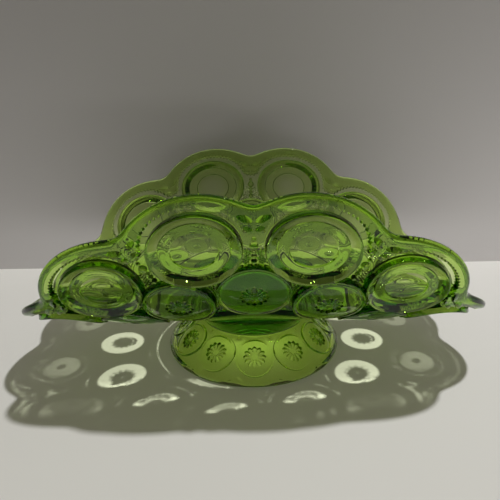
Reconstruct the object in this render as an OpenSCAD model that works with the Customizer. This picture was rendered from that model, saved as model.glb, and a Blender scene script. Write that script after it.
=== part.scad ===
// Footed glass bowl with two sides folded up, in pressed glass.
// The bowl is laid out flat, as a scalloped disc with rings of round bosses, and then bent about X.
// Frame: +X along the bowl, +Y to the rear wall, +Z up, origin on the table under the foot's centre.

/* [Plan] */
// Number of scallops, and of ring bosses and lens bosses
lobes = 12; // [10:1:12]
// Distance from the centre to a scallop's crest, along the glass
crest_r = 156; // [152:0.5:160]
// Distance from the centre to the notch between two scallops
notch_r = 144.3; // [140:0.1:147]
// Softness of the notch between two scallops
notch_soft = 1.6; // [0.8:0.2:3]

/* [Fold] */
// Half width of the flat strip along the bowl's floor
flat_half = 17.5; // [10:0.5:22]
// Distance from the centre line to the end of the tight bend
bend_end = 68; // [60:1:80]
// Slope of the wall where the tight bend ends
bend_angle = 52.5; // [45:0.5:60]
// Slope of the wall near its top
top_angle = 90; // [78:1:94]
// Rise of the bowl's two ends above its middle
end_rise = 5.3; // [0:0.1:10]

/* [Glass] */
// Wall thickness of the bowl
wall = 5.6; // [4.5:0.1:7]
// Height of the bowl's underside above the table, at its centre
bowl_z = 31.2; // [28:0.2:36]
// Depth that a boss is sunk into the glass that it stands on
sunk = 0.4; // [0.2:0.1:0.8]

/* [Bosses] */
// Distance from the centre to a ring boss's middle
ring_boss_at = 124; // [120:0.5:125]
// Half width of a ring boss, along the rim
ring_long = 25.6; // [22:0.2:27]
// Half height of a ring boss, across the rim
ring_short = 23.4; // [20:0.2:24.6]
// Distance from the centre to a lens boss's middle
lens_boss_at = 88; // [84:0.5:90]
// Radius of a lens boss
lens_r = 22; // [18:0.5:22.5]
// Radius of the rosette in the middle of a lens boss or a disc
rosette_r = 7; // [5:0.5:10]
// Number of points of a rosette
rosette_points = 12; // [8:1:16]

/* [Foot] */
// Radius of the foot at the table
foot_r = 62.2; // [58:0.2:66]
// Radius of the neck, where the foot meets the collar
neck_r = 38; // [34:0.5:42]
// Height of the neck
neck_z = 24.2; // [22:0.2:26]
// Width of the flat ring that the foot stands on
ring_w = 5.5; // [4:0.5:8]
// Thickness of the foot's dome
foot_wall = 5; // [4:0.5:7]
// Radius of a disc on the foot
disc_r = 13; // [11:0.5:13]
// Height that a disc stands out of the foot's cone
disc_h = 1.8; // [1.2:0.2:2.4]
// Height that a petal stands out of the foot's cone
petal_h = 0.8; // [0.4:0.1:1]

/* [Hidden] */
step_a = 360 / lobes;
function numbered(stem) = [for (i = [1:lobes]) str(stem, i < 10 ? "0" : "", i)];
ring_names = numbered("ring_boss_");
lens_names = numbered("lens_boss_");
glass = [0.32, 0.55, 0.10, 0.75];
glass_light = [0.45, 0.66, 0.22, 0.75];
glass_deep = [0.16, 0.34, 0.04, 0.85];

bend_full = 150;                       // length at which the wall has its top angle
rise_at = 130;                         // distance along X at which the rise is end_rise
tight_r = (bend_end - flat_half) / bend_angle * 180 / PI;
slack_r = (bend_full - bend_end) / (top_angle - bend_angle) * 180 / PI;

round_w = notch_r * sin(step_a / 2);   // a scallop is an arc through two notches and a crest
round_h = crest_r - notch_r * cos(step_a / 2);
lobe_r = (round_w * round_w + round_h * round_h) / (2 * round_h);
lobe_c = crest_r - lobe_r;

fine = 96;                             // steps round a true circle
finest = 240;                          // steps round the cone that thin forms are cut to
shell_a = 120;                         // steps round the shell
collar_a = 48;                         // steps round the collar
boss_a = 24;                           // steps round a boss
bead_a = 8;                            // steps round a bead
shell_rows = [0.12, 0.24, 0.35, 0.45, 0.54, 0.62, 0.70, 0.78, 0.86, 0.94];
shell_edge = 0.975;                    // share of the distance to the rim where the rim band begins

collar_top_r = 44;
foot_edge_z = 2.4;
dome_low = [foot_r - 1, 4.6];          // the dome's sloping face runs from here
dome_high = [neck_r + 0.6, neck_z];    // to here
dome_tilt = atan2(dome_high[1] - dome_low[1], dome_low[0] - dome_high[0]);
dome_mid = (dome_low + dome_high) / 2;
dome_inner_r = dome_low[0] - foot_wall - 1;

// The wall's slope, and its place across and up, at length v from the centre line
function slope(v) = v < flat_half ? 0
    : v < bend_end ? (v - flat_half) / tight_r * 180 / PI
    : bend_angle + (v - bend_end) / slack_r * 180 / PI;
function across(v) = v < flat_half ? v
    : v < bend_end ? flat_half + tight_r * sin(slope(v))
    : flat_half + tight_r * sin(bend_angle) + slack_r * (sin(slope(v)) - sin(bend_angle));
function up(v) = v < flat_half ? 0
    : v < bend_end ? tight_r * (1 - cos(slope(v)))
    : tight_r * (1 - cos(bend_angle)) + slack_r * (cos(bend_angle) - cos(slope(v)));

// A point of the flat layout [u, v], bent to its place; h is its height out of the outer face
function bent(p, h) =
    let (v = abs(p[1]), side = p[1] < 0 ? 1 : -1, a = slope(v))
    [p[0], side * (across(v) + h * sin(a)), bowl_z + up(v) - h * cos(a) + end_rise * pow(p[0] / rise_at, 2)];

// A point at distance s and bearing a of the flat layout: bearing 0 is the front wall's middle
function polar(s, a) = [s * sin(a), s * cos(a)];
function ring_bearing(i) = step_a * (i - 0.5);
function lens_bearing(i) = step_a * (i - 1);

// Distance to the rim at bearing a: one arc for each scallop, blended in the notches
function arc_reach(d) = abs(d) > 60 ? 0
    : lobe_c * cos(d) + sqrt(max(lobe_r * lobe_r - pow(lobe_c * sin(d), 2), 0));
function folded(a) = let (m = a - 360 * floor(a / 360)) m > 180 ? m - 360 : m;
function total(list) = list * [for (x = list) 1];
function rim(a) = notch_soft * ln(total([for (i = [1:lobes])
    exp(arc_reach(folded(a - ring_bearing(i))) / notch_soft)]));

// Distance from a rosette's middle to its outline's point k: points and hollows in turn
function rosette_reach(k) = rosette_r * (k % 2 == 0 ? 1 : 0.72);

// Closed solid over a stack of rings with equal numbers of points, with a pole at each end
module ring_solid(rings, first, last) {
    n = len(rings[0]);
    k = len(rings);
    function at(r, i) = 2 + r * n + i % n;
    first_fan = [for (i = [0:n - 1]) [0, at(0, i), at(0, i + 1)]];
    last_fan = [for (i = [0:n - 1]) [1, at(k - 1, i + 1), at(k - 1, i)]];
    sides = [for (r = [0:k - 2]) for (i = [0:n - 1]) each
        [[at(r, i), at(r + 1, i), at(r + 1, i + 1)], [at(r, i), at(r + 1, i + 1), at(r, i + 1)]]];
    polyhedron(concat([first, last], [for (r = rings) each r]), concat(first_fan, sides, last_fan));
}

// Ring of the layout round a point at distance s and bearing a, with half width w along the rim and
// half height t across it
function oval(s, a, w, t, n, h) = let (out = polar(1, a), along = [out[1], -out[0]])
    [for (i = [0:n - 1]) bent(s * out + w * cos(360 * i / n) * along + t * sin(360 * i / n) * out, h)];

// A boss on the bowl's outer face: profile is a list of [share of the half width, height]
module boss(s, a, w, t, profile, n = boss_a) {
    function level(share, h) = oval(s, a, w * share, t * share, n, h);
    rings = [for (k = [1:len(profile) - 1]) level(profile[k][0], profile[k][1])];
    ring_solid(concat(rings, [level(1, -sunk), level(0.5, -sunk)]),
               bent(polar(s, a), profile[0][1]), bent(polar(s, a), -sunk));
}

// The narrow ring that the object stands on, with a rounded outer edge
module foot_ring() {
    color(glass) rotate_extrude($fn = fine)
        polygon(concat([[foot_r - ring_w, 0]], [for (a = [-90:22.5:0]) [foot_r - 1 + cos(a), 1 + sin(a)]],
                       [[foot_r, foot_edge_z], [foot_r - ring_w - 1.5, foot_edge_z]]));
}

// The hollow dome that carries the bowl
module foot_dome() {
    color(glass) rotate_extrude($fn = fine)
        polygon([[0, neck_z - foot_wall], [neck_r - foot_wall, neck_z - foot_wall],
                 [dome_inner_r, foot_edge_z + 1.6], [dome_inner_r, foot_edge_z], [foot_r, foot_edge_z],
                 dome_low, dome_high, [0, neck_z]]);
}

// Places its children flat on the dome's sloping face at disc i, with +X down the slope
module on_dome(i) {
    rotate([0, 0, step_a * i - 90]) translate([dome_mid[0], 0, dome_mid[1]]) rotate([0, 90 - dome_tilt, 0])
        children();
}

// All the space inside the dome's outer face
module dome_core() {
    rotate_extrude($fn = finest) polygon([[0, -1], [foot_r, -1], [foot_r, foot_edge_z], dome_low, dome_high,
                                        [neck_r, neck_z + 6], [0, neck_z + 6]]);
}

// Flat round discs round the dome, cut to sit on it
module foot_discs() {
    color(glass_light) difference() {
        for (i = [0:lobes - 1]) on_dome(i)
            translate([0, 0, -3]) cylinder(r = disc_r, h = 3 + disc_h, $fn = 32);
        dome_core();
    }
}

// A rosette on every disc of the foot
module foot_rosettes() {
    n = 2 * rosette_points;
    outline = [for (k = [0:n - 1]) rosette_reach(k) * [cos(360 * k / n), sin(360 * k / n)]];
    color(glass) for (i = [0:lobes - 1]) on_dome(i) translate([0, 0, disc_h]) linear_extrude(0.5)
        polygon(outline);
}

// A petal round the lower half of every disc, down to the foot's edge
module foot_petals() {
    petal_r = 15.2;
    half_a = step_a / 2 - 0.4;
    reach = foot_r + 20;
    color(glass) for (i = [0:lobes - 1]) difference() {
        intersection() {
            on_dome(i) translate([0, 0, -3]) cylinder(r = petal_r, h = 3 + petal_h, $fn = 32);
            rotate([0, 0, step_a * i - 90]) linear_extrude(dome_mid[1])
                polygon([[0, 0], [reach, -reach * tan(half_a)], [reach, reach * tan(half_a)]]);
        }
        dome_core();
    }
}

// The collar of glass that joins foot and bowl: flat below, and shaped to the bowl's underside above
module collar() {
    function level(s, h) = [for (i = [0:collar_a - 1]) bent(polar(s, -360 * i / collar_a), h)];
    function circle_at(r, z) = [for (i = [0:collar_a - 1]) [r * sin(-360 * i / collar_a),
                                                            -r * cos(-360 * i / collar_a), z]];
    color(glass_deep) ring_solid([level(14, -sunk), level(28, -sunk), level(collar_top_r, -sunk),
                                  level(collar_top_r, 0.4), circle_at(neck_r + 1, neck_z + 3),
                                  circle_at(neck_r, neck_z)], bent([0, 0], -sunk), [0, 0, neck_z]);
}

// Points of one row of the shell: share of the distance to the rim, and height out of the outer face
function shell_row(share, h) =
    [for (i = [0:shell_a - 1]) let (a = 360 * i / shell_a) bent(polar(share * rim(a), a), h)];

// The bowl's floor and walls in one thickness, up to the rim band
module bowl_shell() {
    rows = concat(shell_rows, [shell_edge]);
    outer = [for (share = rows) shell_row(share, 0)];
    inner = [for (k = [len(rows) - 1:-1:0]) shell_row(rows[k], -wall)];
    color(glass) ring_solid(concat(outer, inner), bent([0, 0], 0), bent([0, 0], -wall));
}

// The smooth, rounded edge of the scallops, which caps the shell
module rim_band() {
    section = [[shell_edge, 0], [0.99, 0], [0.998, -1.2], [1, -wall / 2], [0.998, 1.2 - wall], [0.99, -wall],
               [shell_edge, -wall]];
    k = len(section);
    function at(r, i) = (r % k) * shell_a + i % shell_a;
    color(glass_light) polyhedron([for (p = section) each shell_row(p[0], p[1])],
        [for (r = [0:k - 1]) for (i = [0:shell_a - 1]) each
            [[at(r, i), at(r + 1, i), at(r + 1, i + 1)], [at(r, i), at(r + 1, i + 1), at(r, i + 1)]]]);
}

// Ring boss i: round, with a raised edge, a wide bevel and a dished middle
module ring_boss(i) {
    color(glass_light) boss(ring_boss_at, ring_bearing(i), ring_long, ring_short,
                            [[0, 0.4], [0.48, 1.6], [0.72, 1.2], [0.96, 2.2], [1, 1.6]]);
}

// Lens boss i: round and slightly domed, between two ring bosses
module lens_boss(i) {
    color(glass_light) boss(lens_boss_at, lens_bearing(i), lens_r, lens_r,
                            [[0, 2.6], [0.45, 2.3], [0.78, 1.6], [1, 0.5]]);
}

// Outline of the rosette on a lens boss at bearing a, at height h
function rosette_outline(a, h) = let (n = 2 * rosette_points, out = polar(1, a), along = [out[1], -out[0]])
    [for (i = [0:n - 1]) let (r = rosette_reach(i), t = 360 * i / n)
        bent(lens_boss_at * out + r * cos(t) * along + r * sin(t) * out, h)];

// A rosette on every lens boss
module rosettes() {
    color(glass) for (i = [1:lobes]) {
        a = lens_bearing(i);
        ring_solid([rosette_outline(a, 3), rosette_outline(a, 2.2)], bent(polar(lens_boss_at, a), 3.2),
                   bent(polar(lens_boss_at, a), 2.2));
    }
}

// Under each notch a leaf-shaped bead, and a chain of ever smaller beads down towards the lens boss
module pendants() {
    beads = [[136.6, 4], [129.4, 2.8], [124.2, 2.1], [120.2, 1.7], [116.8, 1.5], [113.8, 1.3]];
    color(glass_light) for (i = [1:lobes]) for (b = beads)
        boss(b[0], lens_bearing(i), b[1], b[1], [[0, b[1] * 0.55], [0.6, b[1] * 0.42], [1, 0.05]], bead_a);
}

foot_ring();
foot_dome();
foot_discs();
foot_rosettes();
foot_petals();
collar();
bowl_shell();
rim_band();
rosettes();
pendants();
for (i = [1:lobes]) ring_boss(i);
for (i = [1:lobes]) lens_boss(i);
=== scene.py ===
# Footed folded bowl in green pressed glass: the visual model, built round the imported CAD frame.
# Bowl and foot are made of 24 mirrored cells. Each cell is drawn flat with its relief, triangulated,
# copied round and put on its surface. Lengths are millimetres until a mesh is made.
import math

import bmesh
import bpy
import numpy as np
from mathutils import Euler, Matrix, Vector
from mathutils.geometry import delaunay_2d_cdt


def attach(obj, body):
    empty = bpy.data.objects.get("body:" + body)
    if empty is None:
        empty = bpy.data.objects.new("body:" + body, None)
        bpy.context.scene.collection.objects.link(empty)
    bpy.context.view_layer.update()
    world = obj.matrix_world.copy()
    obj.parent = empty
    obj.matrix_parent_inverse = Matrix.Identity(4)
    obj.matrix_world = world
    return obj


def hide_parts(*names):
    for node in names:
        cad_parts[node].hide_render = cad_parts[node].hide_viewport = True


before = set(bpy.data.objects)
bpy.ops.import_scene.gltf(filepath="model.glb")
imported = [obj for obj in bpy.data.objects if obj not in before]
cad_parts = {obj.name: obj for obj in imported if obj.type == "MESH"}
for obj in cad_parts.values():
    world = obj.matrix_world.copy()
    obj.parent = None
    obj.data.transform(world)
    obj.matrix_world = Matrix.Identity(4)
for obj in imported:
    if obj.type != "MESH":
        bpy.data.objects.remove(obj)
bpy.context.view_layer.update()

MM = 0.001
CELLS = 12                          # scallops, ring bosses and lens bosses
HALF_CELL = math.pi / CELLS         # a mirror cell runs from a notch, at 0, to a scallop's crest
FAR = (math.sin(HALF_CELL), math.cos(HALF_CELL))
UP = (0.0, 1.0)
WELD = 0.004                        # points closer than this become one
CREASE = math.radians(32)           # edges sharper than this are shaded as edges

# Fold, as in the CAD model
FLAT_HALF = 17.5                    # half width of the flat middle
BEND_END = 68.0                     # the tight bend ends here, at BEND_ANGLE
BEND_ANGLE = math.radians(52.5)
TOP_ANGLE = math.radians(90.0)      # slope that the slack bend reaches at BEND_FULL
BEND_FULL = 150.0
TIGHT_R = (BEND_END - FLAT_HALF) / BEND_ANGLE
SLACK_R = (BEND_FULL - BEND_END) / (TOP_ANGLE - BEND_ANGLE)
END_RISE = 5.3                      # rise of the open ends, at RISE_AT from the middle
RISE_AT = 130.0
BOWL_Z = 31.2                       # height of the bowl's underside, in the middle
WALL = 5.6

# Rim
CREST_R = 156.0                     # reach of the rim at a crest and, before rounding, at a notch
NOTCH_R = 144.3
NOTCH_SOFT = 3.4                    # larger is a rounder notch
ROUND_W = NOTCH_R * math.sin(HALF_CELL)
ROUND_H = CREST_R - NOTCH_R * math.cos(HALF_CELL)
LOBE_R = (ROUND_W ** 2 + ROUND_H ** 2) / (2 * ROUND_H)
LOBE_C = CREST_R - LOBE_R
RIM_STEPS = 28
RIM_ROUND = 2.8                     # radius of the rim's edge
RIM_TURNS = (15, 30, 48, 68, 90)    # steps round that edge, in degrees
BAND_W = 6.3                        # width of the thick band along the rim
BAND_FLAT = 4.3                     # a row of points this far in keeps the band level
BAND_CLEAR = 6.0                    # loose points start this far in

# Bosses on the bowl
RING_AT = 123.5                     # ring boss: distance out, half sizes round the bowl and outward
RING_LONG = 26.7
RING_SHORT = 22.8
RING_C = (RING_AT * FAR[0], RING_AT * FAR[1])
LENS_AT = 88.0                      # lens boss: distance out and radius
LENS_R = 22.0
LENS_TOP = 1.9                      # height of its dome, and fall of the dome at DOME_R
DOME_FALL = 1.5
DOME_R = 19.2
ROSETTE_R = 8.6
ROSETTE_DEEP = 2.3

# Heights are out of the CAD model's outer face
THIN = -3.8                         # the thin glass round the bosses
MIDDLE = -0.8                       # the plain middle of the bowl
PLAIN_R = 64.0                      # and its radius
GAP_WIDE = 29.6                     # half sizes of the thin glass round a ring boss
GAP_TALL = 29.0
TOOTH = 0.7                         # half depth of the saw-tooth line round the thin glass
TOOTH_PITCH = 1.45
TIP_AT = 130.0                      # the raised glass under a notch ends here
TIP_SLOPE = 0.22
GRAIN = 0.7                         # height of the stipple between the bosses
STIPPLE_END = 119.5                 # it stops here under the notch, and ROUND_STIPPLE out elsewhere
ROUND_STIPPLE = 101.0

# Each bead under a notch: distance out, radius, height. The second is the largest.
BEADS = ((126.4, 1.3, -2.0), (122.3, 2.6, -0.6), (118.2, 1.35, -1.7), (115.3, 1.5, -1.5), (112.0, 1.7, -1.3))
# Each leaf beside a notch: distance across and out, lean in degrees, length, half width, height
LEAVES = ((0.4, 138.0, 20.0, 9.5, 2.0, 2.2), (0.4, 133.2, 18.0, 6.0, 1.3, 1.5))


def slope(v):
    """Slope of the wall at distance v from the centre line, along the glass."""
    tight = (np.clip(v, FLAT_HALF, BEND_END) - FLAT_HALF) / TIGHT_R
    return tight + np.maximum(v - BEND_END, 0) / SLACK_R


def bent(p):
    """Layout points (u, v, height), bent to their places."""
    u, v, h = p.T
    away = np.abs(v)
    a = slope(away)
    tight, slack = np.minimum(a, BEND_ANGLE), np.maximum(a, BEND_ANGLE)
    across = np.minimum(away, FLAT_HALF) + TIGHT_R * np.sin(tight)
    across += SLACK_R * (np.sin(slack) - math.sin(BEND_ANGLE))
    up = TIGHT_R * (1 - np.cos(tight)) + SLACK_R * (math.cos(BEND_ANGLE) - np.cos(slack))
    side = np.where(v < 0, 1.0, -1.0)
    y = side * (across + h * np.sin(a))
    z = BOWL_Z + up - h * np.cos(a) + END_RISE * (u / RISE_AT) ** 2
    return np.stack([u, y, z], axis=1)


class Cell:
    """One mirror cell, drawn flat: points with heights, and the edges that the triangles keep."""

    def __init__(self, far_side):
        self.far_side = far_side    # two points of the cell's far side; the near side is x = 0
        self.points = []
        self.heights = []
        self.edges = set()
        self.seen = {}
        self.ends = []              # rows of points that close the cell between its sides

    def point(self, x, y, h):
        """Index of the point at (x, y), which is added with height h when it is new."""
        key = (round(x, 4), round(y, 4))
        if key not in self.seen:
            self.seen[key] = len(self.points)
            self.points.append((float(x), float(y)))
            self.heights.append(float(h))
        return self.seen[key]

    def line(self, points):
        """Joins points in order; None breaks the line."""
        last = None
        for p in points:
            now = None if p is None else self.point(*p)
            if last is not None and now is not None and last != now:
                self.edges.add((min(last, now), max(last, now)))
            last = now

    def end(self, points):
        """A line that closes the cell between its sides."""
        self.line(points)
        self.ends.append({self.point(*p) for p in points})

    def off_far(self, p):
        """Distance of points from the far side."""
        (x0, y0), (x1, y1) = self.far_side
        size = math.hypot(x1 - x0, y1 - y0)
        return ((x1 - x0) * (p[..., 1] - y0) - (y1 - y0) * (p[..., 0] - x0)) / size

    def sides(self):
        """Edges along the cell's straight sides, through every point that lies on them."""
        p = np.array(self.points)
        for on in (np.abs(p[:, 0]) < 1e-5, np.abs(self.off_far(p)) < 1e-5):
            order = sorted(np.flatnonzero(on), key=lambda i: p[i, 1])
            for i, j in zip(order, order[1:]):
                self.edges.add((min(i, j), max(i, j)))

    def fill(self, pitch, low, high, height, keep):
        """A triangular grid of loose points, where keep allows them."""
        rise = pitch * 0.866
        for row in range(int(low / rise), int(high / rise) + 1):
            y = row * rise
            for k in range(int(45 / pitch)):
                x = (k + (0.5 if row % 2 else 1.0)) * pitch
                away = float(self.off_far(np.array((x, y))))
                if y > low and away > 0.45 * pitch and x > 0.3 * pitch and keep(x, y):
                    self.point(x, y, height(row, k))

    def triangles(self):
        """Triangles of the cell, as points (x, y, height) and index triples.

        Slivers along the sides and ends, where the copies meet, are left out."""
        self.sides()
        verts = [Vector(p) for p in self.points]
        out, _, faces, origin, _, _ = delaunay_2d_cdt(verts, sorted(self.edges), [], 1, 1e-5, True)
        flat = np.array(self.points)
        nearest = lambda p: int(np.argmin(((flat - np.array(p)) ** 2).sum(1)))
        near = [s[0] if s else nearest(p) for p, s in zip(out, origin)]
        made = np.array([(p[0], p[1], self.heights[i]) for p, i in zip(out, near)])
        borders = [np.abs(made[:, 0]) < 1e-3, np.abs(self.off_far(made)) < 1e-3]
        borders += [np.array([i in end for i in near]) for end in self.ends]
        return made, [tuple(f) for f in faces if not any(b[list(f)].all() for b in borders)]


def level(height):
    """Height function for Cell.fill: the same everywhere."""
    return lambda row, k: height


def half_oval(centre, axis, wide, tall, steps, height):
    """Half an oval about a centre on a side of the cell, from the outer end of the axis to the inner."""
    side = (axis[1], -axis[0]) if abs(centre[0]) < 1e-6 else (-axis[1], axis[0])
    out = []
    for i in range(steps + 1):
        t = math.pi * i / steps
        a, b = tall * math.cos(t), wide * math.sin(t)
        out.append((centre[0] + a * axis[0] + b * side[0], centre[1] + a * axis[1] + b * side[1], height))
    return out


def where(points, keep):
    """The points that keep allows, with None for the others."""
    return [p if keep(p[0], p[1]) else None for p in points]


def rosette(cell, centre, size, top, deep):
    """Engraved flower: twelve pointed petals, deepest at their ends, with ridges between them."""
    per_petal = 6

    def row(share, sunk):
        out = []
        for i, (x, y, _) in enumerate(half_oval(centre, UP, 1.0, 1.0, CELLS // 2 * per_petal, 0.0)):
            off = abs((i / per_petal + 0.5) % 1.0 - 0.5) * 2
            r = size * share * (1.0 - 0.2 * off ** 1.4)
            height = top(r) - deep * sunk * (1.0 - 0.85 * off ** 1.6)
            out.append((centre[0] + r * x, centre[1] + r * (y - centre[1]), height))
        cell.line(out)

    for share, sunk in ((1.12, 0.0), (1.0, 0.0), (0.955, 0.85), (0.9, 1.0), (0.8, 0.95), (0.66, 0.75),
                        (0.5, 0.55), (0.34, 0.35)):
        row(share, sunk)
    cell.line(half_oval(centre, UP, 0.16 * size, 0.16 * size, 18, top(0) - 0.15 * deep))
    cell.point(*centre, top(0))


# --- bowl ---------------------------------------------------------------------------------------


def rim_reach(a):
    """Distance from the centre to the rim at angle a from a notch: arcs blended in the notches."""
    total = 0.0
    for k in (-1, 0, 1, 2):
        d = a - HALF_CELL * (2 * k - 1)
        reach = LOBE_C * math.cos(d) + math.sqrt(max(LOBE_R ** 2 - (LOBE_C * math.sin(d)) ** 2, 0))
        total += math.exp(reach / NOTCH_SOFT)
    return NOTCH_SOFT * math.log(total)


def rim_point(a, inset):
    """Point of the rim at angle a from the notch, moved in from the edge."""
    r, step = rim_reach(a), 1e-4
    ahead, behind = rim_reach(a + step), rim_reach(a - step)
    tx = ahead * math.sin(a + step) - behind * math.sin(a - step)
    ty = ahead * math.cos(a + step) - behind * math.cos(a - step)
    size = math.hypot(tx, ty)
    n = (-ty / size, tx / size)
    if a < 1e-9 or a > HALF_CELL - 1e-9:
        n = (math.sin(a), math.cos(a))
    return r * math.sin(a) - n[0] * inset, r * math.cos(a) - n[1] * inset


def rim_row(inset, height):
    """A row of points along the rim."""
    return [(*rim_point(HALF_CELL * i / RIM_STEPS, inset), height) for i in range(RIM_STEPS + 1)]


def from_rim(x, y):
    """Distance in from the rim, along the line to the centre."""
    return rim_reach(math.atan2(x, y)) - math.hypot(x, y)


def about_ring(x, y):
    """Polar place about the ring boss's middle: angle from outward, and distance."""
    dx, dy = x - RING_C[0], y - RING_C[1]
    return math.atan2(abs(dy * FAR[0] - dx * FAR[1]), dx * FAR[0] + dy * FAR[1]), math.hypot(dx, dy)


def ring_share(x, y):
    """Distance from the ring boss's middle, as a share of its half size that way."""
    t, r = about_ring(x, y)
    return math.hypot(r * math.cos(t) / RING_SHORT, r * math.sin(t) / RING_LONG)


def lens_distance(x, y):
    """Distance from the lens boss's middle."""
    return math.hypot(x, y - LENS_AT)


BAND_EDGE = [about_ring(*rim_point(HALF_CELL * i / 60, BAND_W)) for i in range(60, -1, -1)]


def gap_reach(t):
    """Reach of the thin glass from the ring boss's middle: an oval, cut short by the rim's band."""
    oval = 1 / math.hypot(math.cos(t) / GAP_TALL, math.sin(t) / GAP_WIDE)
    band = float(np.interp(t, [p[0] for p in BAND_EDGE], [p[1] for p in BAND_EDGE], right=60.0))
    return -math.log(math.exp(-oval) + math.exp(-band))


def past_tip(x, y, margin=0.0):
    """How far out the point is from the line where the raised glass under a notch ends."""
    return y - (TIP_AT + TIP_SLOPE * x - margin)


def gap_edge():
    """The line round the thin glass, from the crest side to the tip under the notch."""
    line = []
    for i in range(300):
        t = math.pi * i / 299
        a, b = gap_reach(t) * math.cos(t), gap_reach(t) * math.sin(t)
        p = (RING_C[0] + a * FAR[0] - b * FAR[1], RING_C[1] + a * FAR[1] + b * FAR[0])
        if past_tip(*p) < 0:
            break
        line.append(p)
    last = line[-1]
    line += [(last[0] * (1 - s / 8), last[1] + (TIP_AT - last[1]) * s / 8) for s in range(1, 9)]
    line = np.array(line)
    run = np.concatenate([[0], np.cumsum(np.hypot(*np.diff(line, axis=0).T))])
    at = np.linspace(0, run[-1], 2 * round(run[-1] / TOOTH_PITCH / 2) + 1)
    return np.stack([np.interp(at, run, line[:, 0]), np.interp(at, run, line[:, 1])], axis=1)


def saw_line(edge, outset, height):
    """The saw-tooth line along the edge, moved by the outset to the raised side."""
    out = []
    for k, p in enumerate(edge):
        d = edge[min(k + 1, len(edge) - 1)] - edge[max(k - 1, 0)]
        n = np.array([-d[1], d[0]]) / np.hypot(*d)
        if n @ (p - RING_C) < 0:
            n = -n
        shift = outset + (TOOTH if k % 2 else -TOOTH)
        if k == 0:
            n, shift = np.array(FAR), outset
        if k == len(edge) - 1:
            n, shift = np.array(UP), outset
        q = p + n * shift
        out.append((max(q[0], 0.0), q[1], height))
    return out


def saw_edge(cell):
    """The step from the raised glass down to the thin glass."""
    edge = gap_edge()
    for outset, height in ((0.55, 0.0), (0.2, -0.7), (-0.35, THIN + 0.2), (-0.6, THIN)):
        cell.line(saw_line(edge, outset, height))


def ring_boss(cell):
    """Raised ring: steep side, narrow crest, inward bevel, groove, flat ring and a round hollow."""
    side = [(1.0, THIN), (0.988, -1.0), (0.98, 1.3), (0.968, 1.9), (0.953, 2.1), (0.938, 1.95)]
    bevel = [(s, 1.8 - 3.4 * (0.925 - s) / 0.15) for s in (0.925, 0.89, 0.85, 0.81, 0.775)]
    groove = [(0.765, -1.8), (0.752, -2.1), (0.735, -1.7)]
    flat = [(0.69, -1.55), (0.62, -1.6), (0.56, -1.65), (0.53, -1.55), (0.508, -1.6), (0.498, -1.95)]
    hollow_share, hollow_edge, deep = 0.488, -2.45, 1.75
    hollow = [(hollow_share * k, hollow_edge - deep * (1 - k * k))
              for k in (1.0, 0.94, 0.86, 0.76, 0.65, 0.53, 0.4, 0.27, 0.14)]
    for share, height in side + bevel + groove + flat + hollow:
        steps = 66 if share > 0.3 else 33
        oval = half_oval(RING_C, FAR, RING_LONG * share, RING_SHORT * share, steps, height)
        cell.line(where(oval, lambda x, y: lens_distance(x, y) > LENS_R + 0.25))
    cell.point(*RING_C, hollow_edge - deep)


def dome(r):
    """Height of the lens boss's face at distance r from its middle."""
    return LENS_TOP - DOME_FALL * (r / DOME_R) ** 2


def lens_boss(cell):
    """Raised plate with a lipped edge, a low dome and an engraved rosette."""
    rows = [(LENS_R, THIN), (21.8, -0.8), (21.55, 0.4), (21.2, 0.7), (20.3, 0.7), (19.9, 0.35), (19.6, 0.1)]
    rows += [(r, dome(r)) for r in (DOME_R, 17.6, 15.6, 13.6, 11.6, 10.2)]
    for r, height in rows:
        cell.line(half_oval((0.0, LENS_AT), UP, r, r, 54, height))
    rosette(cell, (0.0, LENS_AT), ROSETTE_R, dome, ROSETTE_DEEP)


def leaf(cell, x, y, lean, size, wide, high):
    """A leaf-shaped facet rising outward from the centre line under the notch."""
    lean, steps = math.radians(lean), 10
    along, across = (math.cos(lean), math.sin(lean)), (-math.sin(lean), math.cos(lean))

    def place(i, w, h):
        swell, s = math.sin(math.pi * i / steps) ** 0.7, size * i / steps
        return x + along[0] * s + across[0] * w * swell, y + along[1] * s + across[1] * w * swell, h * swell

    cell.line([place(i, wide, 0.0) for i in range(steps + 1)])
    cell.line([place(i, -wide, 0.0) for i in range(steps + 1)])
    cell.line([place(i, -0.6 * wide, high) for i in range(1, steps)])


def on_leaf(x, y):
    """True on a leaf or just beside it."""
    for x0, y0, lean, size, wide, _ in LEAVES:
        c, d = math.cos(math.radians(lean)), math.sin(math.radians(lean))
        s, w = (x - x0) * c + (y - y0) * d, (y - y0) * c - (x - x0) * d
        if -0.8 < s < size + 0.8 and abs(w) < wide + 0.5:
            return True
    return False


def bead(cell, at, r, height):
    """A round bead on the thin glass, on the line under the notch."""
    for share, up in ((1.0, 0.0), (0.92, 0.45), (0.74, 0.75), (0.45, 0.94)):
        cell.line(half_oval((0.0, at), UP, r * share, r * share, 8, THIN + (height - THIN) * up))
    cell.point(0.0, at, height)


def on_field(x, y, margin):
    """True on the low glass between the bosses, beads and raised glass."""
    if lens_distance(x, y) < LENS_R + margin or ring_share(x, y) < 1 + margin / RING_SHORT:
        return False
    if any(math.hypot(x, y - at) < r + margin for at, r, _ in BEADS):
        return False
    t, r = about_ring(x, y)
    step = margin + 1.2
    return not (r > gap_reach(t) - step and past_tip(x, y, step) > 0)


def on_raised(x, y):
    """True on the raised glass inside the band, away from its edges and the leaves."""
    t, r = about_ring(x, y)
    clear = r >= gap_reach(t) + 1.7 and from_rim(x, y) >= BAND_CLEAR and y >= TIP_AT + 1.8
    return clear and past_tip(x, y) > 0 and not on_leaf(x, y)


def stippled(x, y):
    """True where the low glass is stippled; the rest of it is plain."""
    return y < STIPPLE_END or math.hypot(x, y) < ROUND_STIPPLE


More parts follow.
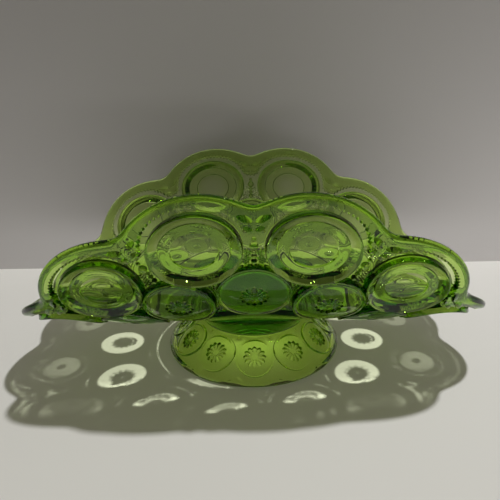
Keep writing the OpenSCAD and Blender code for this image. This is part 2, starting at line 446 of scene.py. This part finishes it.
def low_glass(cell):
    """Loose points of the thin glass, with grains where it is stippled."""
    cell.fill(0.95, PLAIN_R + 2.5, 131, lambda row, k: THIN + (GRAIN if (k + row % 2) % 3 == 1 else 0.0),
              lambda x, y: on_field(x, y, 0.5) and stippled(x, y))
    cell.fill(2.0, STIPPLE_END, 151, level(THIN), lambda x, y: on_field(x, y, 0.9) and not stippled(x, y))


def spokes(cell, radii, height, keep):
    """Points along both straight sides of the cell, and in the middle."""
    for r in radii:
        for x, y in ((0.0, r), (r * FAR[0], r * FAR[1])):
            if keep(x, y):
                cell.point(x, y, height)
    cell.point(0, 0, height)


def plain_middle(cell):
    """The plain middle, with the step up to it."""
    turns = [HALF_CELL * i / 12 for i in range(13)]
    for past, height in ((2, THIN), (1.4, THIN + 0.2), (0, -0.9), (-0.6, MIDDLE)):
        r = PLAIN_R + past
        cell.line([(r * math.sin(t), r * math.cos(t), height) for t in turns])
    cell.fill(3.0, 2, PLAIN_R - 2, level(MIDDLE), lambda x, y: math.hypot(x, y) < PLAIN_R - 1.8)
    spokes(cell, range(4, 61, 4), MIDDLE, lambda x, y: True)


def rimmed_cell(side, face):
    """A cell of the bowl with one half of the rim's rounded edge: side 1 is outer, -1 is inner."""
    cell = Cell([(0, 0), (200 * FAR[0], 200 * FAR[1])])
    cell.end(rim_row(0.0, -RIM_ROUND))
    for degrees in RIM_TURNS:
        turn = math.radians(degrees)
        cell.line(rim_row(RIM_ROUND * (1 - math.cos(turn)), RIM_ROUND * (side * math.sin(turn) - 1)))
    cell.line(rim_row(BAND_FLAT, face))
    return cell


def outer_cell():
    """The bowl's outer face, which holds all the relief."""
    cell = rimmed_cell(1, 0.0)
    saw_edge(cell)
    ring_boss(cell)
    lens_boss(cell)
    for shape in LEAVES:
        leaf(cell, *shape)
    for shape in BEADS:
        bead(cell, *shape)
    cell.fill(2.0, 129, 156, level(0.0), on_raised)
    low_glass(cell)
    plain_middle(cell)
    return cell.triangles()


def inner_cell():
    """The bowl's inner face, which is smooth."""
    cell = rimmed_cell(-1, -WALL)
    inside = lambda x, y: from_rim(x, y) > BAND_CLEAR
    cell.fill(3.0, 2, 151, level(-WALL), inside)
    spokes(cell, range(3, 150, 3), -WALL, inside)
    return cell.triangles()


def copied_round(cell, place):
    """The cell's 24 mirrored copies, as placed points and faces; place(points, mirror, turn) puts one."""
    points, faces = cell
    verts, out = [], []
    for k in range(CELLS):
        for mirror in (1, -1):
            base = sum(len(v) for v in verts)
            verts.append(place(points, mirror, k))
            order = (0, 1, 2) if mirror > 0 else (0, 2, 1)
            out += [tuple(base + f[i] for i in order) for f in faces]
    return np.concatenate(verts), out


def on_bowl(points, mirror, k):
    """Puts flat points of a cell on the bent bowl."""
    a = 2 * HALF_CELL * k
    x, y = points[:, 0] * mirror, points[:, 1]
    u, v = x * math.cos(a) + y * math.sin(a), -x * math.sin(a) + y * math.cos(a)
    return bent(np.stack([u, v, points[:, 2]], axis=1))


# --- foot ---------------------------------------------------------------------------------------

SLANT_TOP = (38.6, 24.2)            # radius and height where the slanted face starts
SLANT_LOW = (61.2, 4.6)             # and where it ends
SLANT = math.hypot(SLANT_LOW[0] - SLANT_TOP[0], SLANT_LOW[1] - SLANT_TOP[1])
DOWN = ((SLANT_LOW[0] - SLANT_TOP[0]) / SLANT, (SLANT_LOW[1] - SLANT_TOP[1]) / SLANT)
OUT = (-DOWN[1], DOWN[0])
SKIRT = ((61.75, 4.05), (62.05, 3.25), (62.1, 2.4), (62.1, 1.2))    # on down to the base
SKIRT_AT = (0.8, 1.65, 2.5, 3.7)    # distances of those points past the slanted face
FOOT_LONG = SLANT + SKIRT_AT[-1]
FOOT_STEPS = 8                      # columns of points in a mirror cell
FOOT_COLUMNS = 2 * CELLS * FOOT_STEPS
DISC_R = 12.9
DISC_AT = SLANT / 2
DISC_TOP = 1.8
FOOT_ROSETTE_R = 7.4
FOOT_ROSETTE_DEEP = 2.1
PETAL = 0.45                        # height of a petal's face, and of the cut between two petals
CUT = -1.3
PETAL_END = SLANT + 3.9             # lowest point of a petal's edge, at the middle of the petal
PETAL_SAG = 3.7                     # and how much higher its ends are
HOLLOW_TOP = 19.5                   # height of the hollow under the foot
COLLAR_IN = -1.4                    # the foot's glass ends this far inside the bowl's


def slant_radius(y):
    """Radius that flat points are spread over, at distance y down the foot."""
    return SLANT_TOP[0] + DOWN[0] * y


def foot_far(y):
    """Width of the foot's mirror cell at distance y down it."""
    return slant_radius(y) * HALF_CELL


def foot_section(y):
    """Radius, height and outward direction of the foot's face at distance y down it."""
    at = np.array([0.0, SLANT - 0.6, SLANT, *(SLANT + d for d in SKIRT_AT)])
    near = (SLANT_LOW[0] - 0.6 * DOWN[0], SLANT_LOW[1] - 0.6 * DOWN[1])
    path = np.array([SLANT_TOP, near, SLANT_LOW, *SKIRT])
    lean = np.array([OUT, OUT, (0.8, 0.6), (0.9, 0.44), (0.97, 0.24), (1.0, 0.0), (1.0, 0.0)])
    return [np.interp(y, at, column) for column in (*path.T, *lean.T)]


def on_foot(points, mirror, k):
    """Puts flat points (across, down the foot, height) on the foot's outer face."""
    x, y, h = points.T
    turn = 2 * HALF_CELL * k + mirror * x / slant_radius(y)
    r, z, out, up = foot_section(y)
    return np.stack([(r + out * h) * np.sin(turn), -(r + out * h) * np.cos(turn), z + up * h], axis=1)


def foot_row(y, height):
    """A row of points across the foot's cell."""
    return [(foot_far(y) * i / FOOT_STEPS, y, height) for i in range(FOOT_STEPS + 1)]


def foot_disc(cell):
    """A raised disc with a lipped edge and a rosette."""
    centre = (0.0, DISC_AT)
    for r, height in ((DISC_R, 0.5), (DISC_R - 0.2, 1.4), (DISC_R - 0.6, DISC_TOP), (DISC_R - 1.4, 1.85),
                      (DISC_R - 1.9, 1.6), (DISC_R - 2.6, 1.7), (9.2, DISC_TOP)):
        oval = half_oval(centre, UP, r, r, 48, height)
        cell.line(where(oval, lambda x, y: x < foot_far(y) - 0.15 and y > 0.5))
    rosette(cell, centre, FOOT_ROSETTE_R, lambda r: DISC_TOP, FOOT_ROSETTE_DEEP)


def petal_edge(x):
    """Distance down the foot of a petal's edge, at x across."""
    return PETAL_END - PETAL_SAG * (x / foot_far(SLANT)) ** 2


def petal_cut(cell):
    """The end of a petal, stepping down to the cut between it and the next."""
    for drop, height in ((-0.7, PETAL), (-0.15, 0.25), (0.1, -0.6), (0.35, CUT)):
        edge = [(x, petal_edge(x) + drop, height) for x in np.linspace(5.5, foot_far(SLANT), 16)]
        edge = [(min(x, foot_far(y)), y, h) for x, y, h in edge if y < FOOT_LONG - 0.6]
        last = edge[-1]
        edge[-1] = (foot_far(last[1]), last[1], last[2])
        cell.line(edge)
    for y in (SLANT + 1.6, SLANT + 2.3, SLANT + 2.9):
        across = np.linspace(foot_far(y) - 5.0, foot_far(y), 5)
        cell.line([(x, y, CUT) for x in across if petal_edge(x) + 0.5 < y])


def petal_face(cell):
    """Loose points of a petal, along the cell's far side and below the disc."""
    for y in np.arange(1.5, SLANT - 0.4, 1.5):
        cell.point(foot_far(y), y, PETAL)
    for y in (SLANT - 1.2, SLANT, SLANT + 0.8, SLANT + 1.6, SLANT + 2.4):
        for x in np.arange(0.0, foot_far(y), 2.2):
            if y < petal_edge(x) - 1.2 and math.hypot(x, y - DISC_AT) > DISC_R + 0.5:
                cell.point(x, y, PETAL)


def foot_cell():
    """The foot's outer face: a disc with a rosette on a wide petal."""
    cell = Cell([(foot_far(0), 0), (foot_far(FOOT_LONG), FOOT_LONG)])
    cell.end(foot_row(0.0, 0.0))
    cell.line(foot_row(0.6, 0.3))
    cell.end(foot_row(FOOT_LONG, 0.0))
    cell.line(foot_row(FOOT_LONG - 0.45, 0.0))
    foot_disc(cell)
    petal_cut(cell)
    petal_face(cell)
    return cell.triangles()


def circle(r, place):
    """A circle of points round the foot; place(x, y) gives one point."""
    turns = [2 * math.pi * i / FOOT_COLUMNS for i in range(FOOT_COLUMNS)]
    return [place(r * math.sin(t), r * math.cos(t)) for t in turns]


def turned(r, z):
    """A level circle of points."""
    return circle(r, lambda x, y: (x, -y, z))


def under_bowl(r, height):
    """A circle of the bowl's layout, bent with the bowl."""
    return bent(np.array(circle(r, lambda x, y: (x, y, height)))).tolist()


def strips(rows, end):
    """Faces between rows of points, closed on the end point."""
    verts, faces, steps = [p for row in rows for p in row], [], len(rows[0])
    for k in range(len(rows) - 1):
        for i in range(steps):
            j = (i + 1) % steps
            faces.append((k * steps + i, k * steps + j, (k + 1) * steps + j, (k + 1) * steps + i))
    last = (len(rows) - 1) * steps
    verts.append(end)
    faces += [(last + i, last + (i + 1) % steps, len(verts) - 1) for i in range(steps)]
    return np.array(verts, dtype=float), faces


def foot_low():
    """From the skirt down round the base and up the hollow."""
    base = [SKIRT[-1], (61.9, 0.7), (61.5, 0.25), (60.8, 0.0), (58.0, 0.0), (57.2, 0.15), (56.7, 0.7),
            (56.0, 2.2)]
    hollow = [(54.0, 4.6), (50.0, 8.1), (46.0, 11.5), (42.0, 14.7), (38.0, 17.2), (34.0, 18.6),
              (28.0, 19.2), (20.0, 19.4), (10.0, HOLLOW_TOP)]
    return strips([turned(r, z) for r, z in base + hollow], (0.0, 0.0, HOLLOW_TOP))


def foot_high():
    """From the slanted face up over the neck, and closed inside the bowl's glass."""
    neck = [SLANT_TOP, (38.0, 24.5), (37.9, 24.9), (38.3, 25.5), (39.2, 26.3)]
    rows = [turned(r, z) for r, z in neck]
    rows += [under_bowl(r, h) for r, h in ((42.2, 1.6), (43.6, 0.9), (44.2, 0.0), (44.0, -1.2))]
    rows += [under_bowl(r, COLLAR_IN) for r in (36.0, 26.0, 14.0)]
    return strips(rows, tuple(bent(np.array([(0.0, 0.0, COLLAR_IN)]))[0]))


# --- glass --------------------------------------------------------------------------------------


def noise(nodes, links, scale, detail):
    """Solid noise that stays with the piece."""
    place = nodes.new("ShaderNodeTexCoord")
    made = nodes.new("ShaderNodeTexNoise")
    made.inputs["Scale"].default_value = scale
    made.inputs["Detail"].default_value = detail
    links.new(place.outputs["Object"], made.inputs["Vector"])
    return made.outputs["Fac"]


def rippled(nodes, links, surface, strength):
    """The faint unevenness of pressed glass."""
    bump = nodes.new("ShaderNodeBump")
    bump.inputs["Strength"].default_value = strength
    bump.inputs["Distance"].default_value = 0.0006
    links.new(noise(nodes, links, 38.0, 2.0), bump.inputs["Height"])
    links.new(bump.outputs["Normal"], surface.inputs["Normal"])


def worn(nodes, links, surface):
    """Fine wear: small patches that are a little rough."""
    spread = nodes.new("ShaderNodeMapRange")
    spread.inputs["From Min"].default_value = 0.52
    spread.inputs["From Max"].default_value = 0.8
    spread.inputs["To Min"].default_value = 0.0
    spread.inputs["To Max"].default_value = 0.035
    links.new(noise(nodes, links, 420.0, 5.0), spread.inputs["Value"])
    links.new(spread.outputs["Result"], surface.inputs["Roughness"])


def green_glass(name, tint, depth_color, density, ripple):
    """Clear green glass: a light tint on the surface, and more colour with depth."""
    material = bpy.data.materials.new(name)
    material.use_nodes = True
    nodes, links = material.node_tree.nodes, material.node_tree.links
    surface = nodes["Principled BSDF"]
    surface.inputs["Base Color"].default_value = (*tint, 1.0)
    surface.inputs["Transmission Weight"].default_value = 1.0
    surface.inputs["IOR"].default_value = 1.5
    rippled(nodes, links, surface, ripple)
    worn(nodes, links, surface)
    depth = nodes.new("ShaderNodeVolumeAbsorption")
    depth.inputs["Color"].default_value = (*depth_color, 1.0)
    depth.inputs["Density"].default_value = density
    links.new(depth.outputs["Volume"], nodes["Material Output"].inputs["Volume"])
    return material


# --- pieces -------------------------------------------------------------------------------------


def closed_mesh(name, parts, material):
    """One closed, outward-facing mesh, in metres, from several parts that share their borders."""
    bm = bmesh.new()
    for verts, faces in parts:
        made = [bm.verts.new(Vector(p) * MM) for p in verts.tolist()]
        for f in faces:
            bm.faces.new([made[i] for i in f])
    bmesh.ops.remove_doubles(bm, verts=bm.verts, dist=WELD * MM)
    loose = [v for v in bm.verts if not v.link_faces]
    bmesh.ops.delete(bm, geom=loose, context="VERTS")
    bmesh.ops.triangulate(bm, faces=bm.faces)
    bmesh.ops.recalc_face_normals(bm, faces=bm.faces)
    mesh = bpy.data.meshes.new(name)
    bm.to_mesh(mesh)
    bm.free()
    mesh.shade_smooth()
    mesh.set_sharp_from_angle(angle=CREASE)
    mesh.materials.append(material)
    piece = bpy.data.objects.new(name, mesh)
    bpy.context.scene.collection.objects.link(piece)
    return piece


bowl_glass = green_glass("green glass", (0.88, 0.95, 0.68), (0.70, 0.85, 0.20), 285.0, 0.12)
# Painted light: the foot's glass has a paler tint and absorbs less red and green than the bowl's, so the foot
# looks lit by the key's light that comes down through the neck onto the table under it.
foot_glass_painted_lighter = green_glass("green glass of the foot, painted lighter", (0.93, 0.975, 0.76), (0.78, 0.93, 0.03), 160.0, 0.18)
bowl_faces = [copied_round(outer_cell(), on_bowl), copied_round(inner_cell(), on_bowl)]
bowl = closed_mesh("bowl", bowl_faces, bowl_glass)
foot = closed_mesh("foot", [copied_round(foot_cell(), on_foot), foot_low(), foot_high()], foot_glass_painted_lighter)

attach(bowl, "root")
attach(foot, "root")
bosses = [f"{kind}_boss_{i:02d}" for kind in ("ring", "lens") for i in range(1, CELLS + 1)]
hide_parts("bowl_shell", "rim_band", "rosettes", "pendants", *bosses)
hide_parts("foot_ring", "foot_dome", "foot_discs", "foot_rosettes", "foot_petals", "collar")

# --- table, wall, light and camera, in metres -----------------------------------------------------

FLOOR_HALF = 2.5
WALL_Y = 0.156
WALL_TOP = 0.55


def painted(name, low, high, scale):
    """Matt paint with faint mottling."""
    material = bpy.data.materials.new(name)
    material.use_nodes = True
    nodes, links = material.node_tree.nodes, material.node_tree.links
    surface = nodes["Principled BSDF"]
    surface.inputs["Roughness"].default_value = 0.85
    surface.inputs["Specular IOR Level"].default_value = 0.25
    ramp = nodes.new("ShaderNodeValToRGB")
    ramp.color_ramp.elements[0].position = 0.35
    ramp.color_ramp.elements[1].position = 0.65
    ramp.color_ramp.elements[0].color = (*low, 1.0)
    ramp.color_ramp.elements[1].color = (*high, 1.0)
    links.new(noise(nodes, links, scale, 2.0), ramp.inputs["Fac"])
    links.new(ramp.outputs["Color"], surface.inputs["Base Color"])
    return material


def clear_from_behind(material):
    """Makes a paint one-sided, so that the wall doesn't hide the bowl from behind."""
    nodes, links = material.node_tree.nodes, material.node_tree.links
    clear = nodes.new("ShaderNodeBsdfTransparent")
    mix = nodes.new("ShaderNodeMixShader")
    facing = nodes.new("ShaderNodeNewGeometry")
    links.new(facing.outputs["Backfacing"], mix.inputs["Fac"])
    links.new(nodes["Principled BSDF"].outputs["BSDF"], mix.inputs[1])
    links.new(clear.outputs["BSDF"], mix.inputs[2])
    links.new(mix.outputs["Shader"], nodes["Material Output"].inputs["Surface"])
    return material


def panel(name, corners, material):
    """A flat panel of the set."""
    mesh = bpy.data.meshes.new(name)
    mesh.from_pydata(corners, [], [(0, 1, 2, 3)])
    mesh.materials.append(material)
    made = bpy.data.objects.new(name, mesh)
    bpy.context.scene.collection.objects.link(made)
    return made


def area_light(name, place, size, energy, color):
    """A round light that faces down."""
    light = bpy.data.lights.new(name, "AREA")
    light.shape = "DISK"
    light.size = size
    light.energy = energy
    light.color = color
    made = bpy.data.objects.new(name, light)
    made.location = place
    bpy.context.scene.collection.objects.link(made)
    return made


def unseen(light):
    """Keeps the light's own shape out of the picture, reflections and refractions."""
    light.visible_camera = False
    light.visible_glossy = False
    light.visible_transmission = False


def only(thing):
    """A collection of one thing, for a light that reaches nothing else."""
    made = bpy.data.collections.new(f"only {thing.name}")
    made.objects.link(thing)
    return made


floor = panel("floor", [(x * FLOOR_HALF, y * FLOOR_HALF, 0) for x, y in ((-1, -1), (1, -1), (1, 1), (-1, 1))],
              painted("pale floor", (0.72, 0.715, 0.71), (0.75, 0.745, 0.74), 3.0))
wall = panel("backdrop",
             [(x * FLOOR_HALF, WALL_Y, z) for x, z in ((-1, 0), (1, 0), (1, WALL_TOP), (-1, WALL_TOP))],
             clear_from_behind(painted("grey wall", (0.46, 0.44, 0.43), (0.49, 0.47, 0.46), 2.0)))

# The key's light is focused by the bosses on to the table.
key = area_light("key", (0.366, 0.073, 1.465), 0.07, 13.6, (1.0, 0.985, 0.96))
key.rotation_euler = (Vector((0, 0, 0.05)) - key.location).to_track_quat("-Z", "Y").to_euler()
key.data.cycles.is_caustics_light = True
floor.cycles.is_caustics_receiver = True
bowl.cycles.is_caustics_caster = True
foot.cycles.is_caustics_caster = True

# A long low light gives the wall its gradient, and reaches nothing else.
wash = area_light("wall wash", (0.5, -0.12, 0.01), 1.7, 2.3, (1.0, 1.0, 1.0))
wash.data.shape = "RECTANGLE"
wash.data.size_y = 0.05
wash.rotation_euler = Euler((math.radians(97), 0, math.radians(4)))
wash.light_linking.receiver_collection = only(wall)
unseen(wash)

# Stands in for the key's light that comes down through the neck, which the renderer does not carry.
neck_light = area_light("light in the foot", (0, 0, 0.0188), 0.06, 0.0056, (0.78, 1.0, 0.38))
unseen(neck_light)

# Stands in for the light that comes down through the plain glass: it reaches the table only, and
# the bowl casts no shadow in it.
through = area_light("light through the glass", (0, 0, 1.5), 1.0, 2.4, (1.0, 0.97, 0.66))
through.light_linking.receiver_collection = only(floor)
through.light_linking.blocker_collection = through.light_linking.receiver_collection
unseen(through)

world = bpy.data.worlds.new("studio")
world.use_nodes = True
world.node_tree.nodes["Background"].inputs["Color"].default_value = (1.0, 0.95, 0.76, 1.0)
world.node_tree.nodes["Background"].inputs["Strength"].default_value = 0.078
bpy.context.scene.world = world

lens = bpy.data.cameras.new("camera")
lens.sensor_width = 36.0
lens.lens = 34.92
camera = bpy.data.objects.new("camera", lens)
camera.location = (-0.0032, -0.3246, 0.1853)
pitch, yaw, roll = math.radians(19.30), math.radians(0.25), math.radians(-0.84)
aim = Vector((math.sin(yaw) * math.cos(pitch), math.cos(yaw) * math.cos(pitch), -math.sin(pitch)))
camera.rotation_mode = "QUATERNION"
camera.rotation_quaternion = aim.to_track_quat("-Z", "Y") @ Euler((0, 0, roll)).to_quaternion()
bpy.context.scene.collection.objects.link(camera)
bpy.context.scene.camera = camera

cycles = bpy.context.scene.cycles
cycles.max_bounces = 24
cycles.transmission_bounces = 24
cycles.glossy_bounces = 6
cycles.diffuse_bounces = 4
cycles.transparent_max_bounces = 16
cycles.blur_glossy = 0.6
cycles.sample_clamp_indirect = 12.0
bpy.context.scene.view_settings.view_transform = "Standard"
